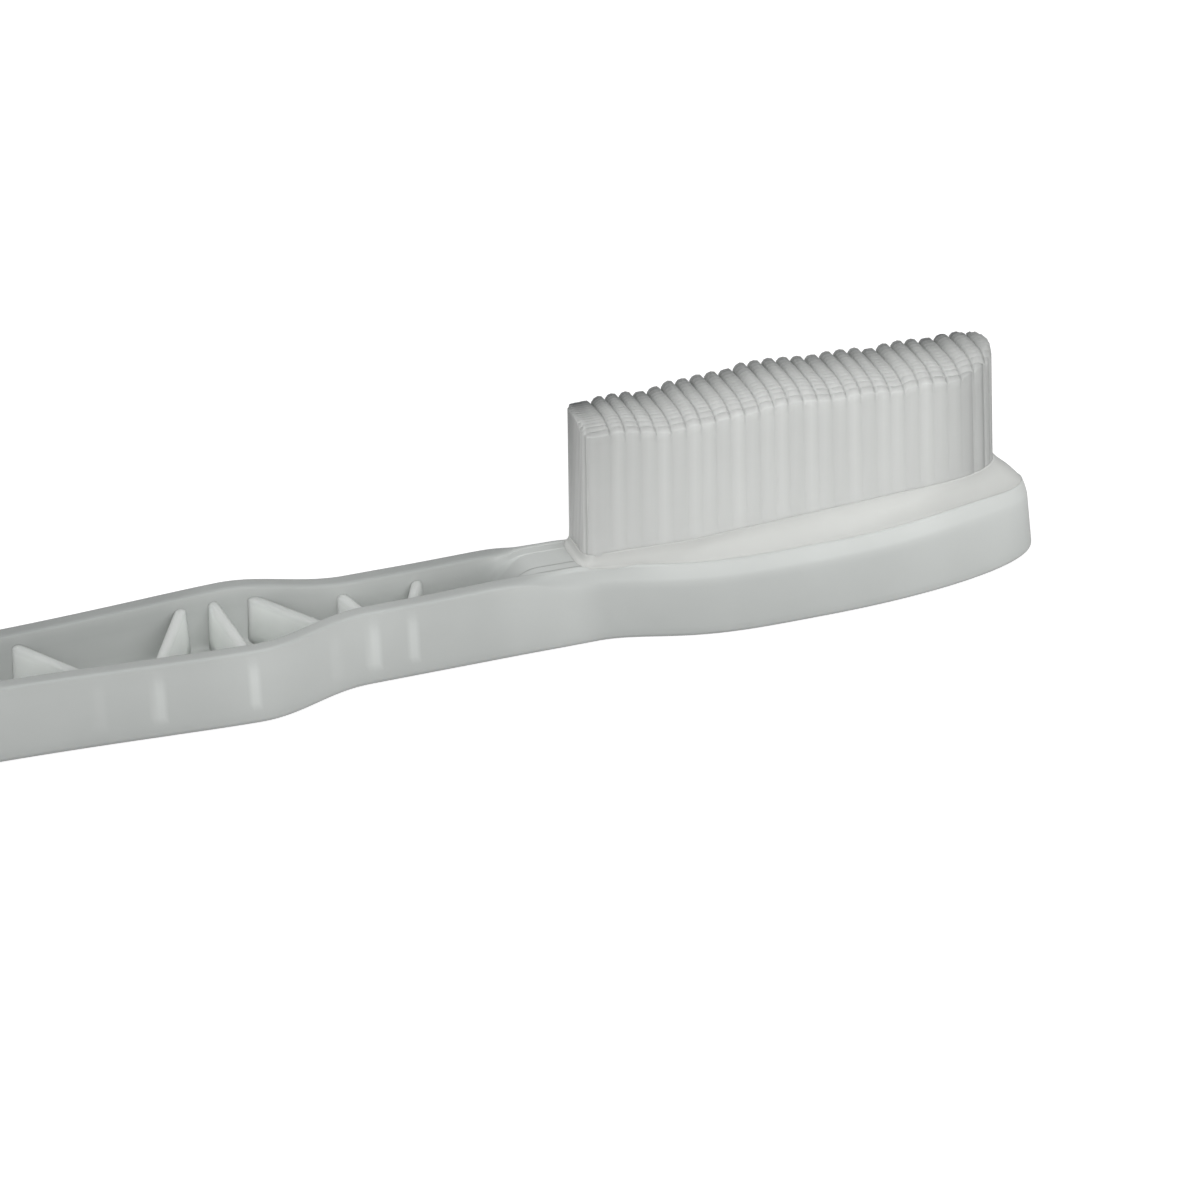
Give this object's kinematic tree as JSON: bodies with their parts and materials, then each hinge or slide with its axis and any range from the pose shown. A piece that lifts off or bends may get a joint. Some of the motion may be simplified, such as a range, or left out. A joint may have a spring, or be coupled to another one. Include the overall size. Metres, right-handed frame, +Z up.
{
  "type": "manual toothbrush",
  "caption": "Manual toothbrush with a hollow ribbed handle, a slim neck and a rounded head carrying a soft pad with a dense block of fine moulded bristles.",
  "frame": {"origin": "on the flat back, halfway along the brush and on its middle line", "axes": "+X towards the tip of the head, +Y across the brush to its left side, +Z up from the flat back towards the bristle tips"},
  "size_m": [0.168, 0.011, 0.0171],
  "materials": {
    "milky_plastic": "satin, milky translucent",
    "soft_pad": "satin, milky translucent",
    "soft_bristle": "satin, milky translucent"
  },
  "bodies": {
    "root": {"grip_trough": "milky_plastic", "grip_ribs": "milky_plastic", "neck_trough": "milky_plastic", "neck_ribs": "milky_plastic", "head_tray": "milky_plastic", "bristle_pad": "soft_pad", "bristle_row_01": "soft_bristle", "bristle_row_02": "soft_bristle", "bristle_row_03": "soft_bristle", "bristle_row_04": "soft_bristle", "bristle_row_05": "soft_bristle", "bristle_row_06": "soft_bristle", "bristle_row_07": "soft_bristle", "bristle_row_08": "soft_bristle", "bristle_row_09": "soft_bristle", "bristle_row_10": "soft_bristle", "bristle_row_11": "soft_bristle", "bristle_row_12": "soft_bristle", "bristle_row_13": "soft_bristle"}
  },
  "joints": []
}
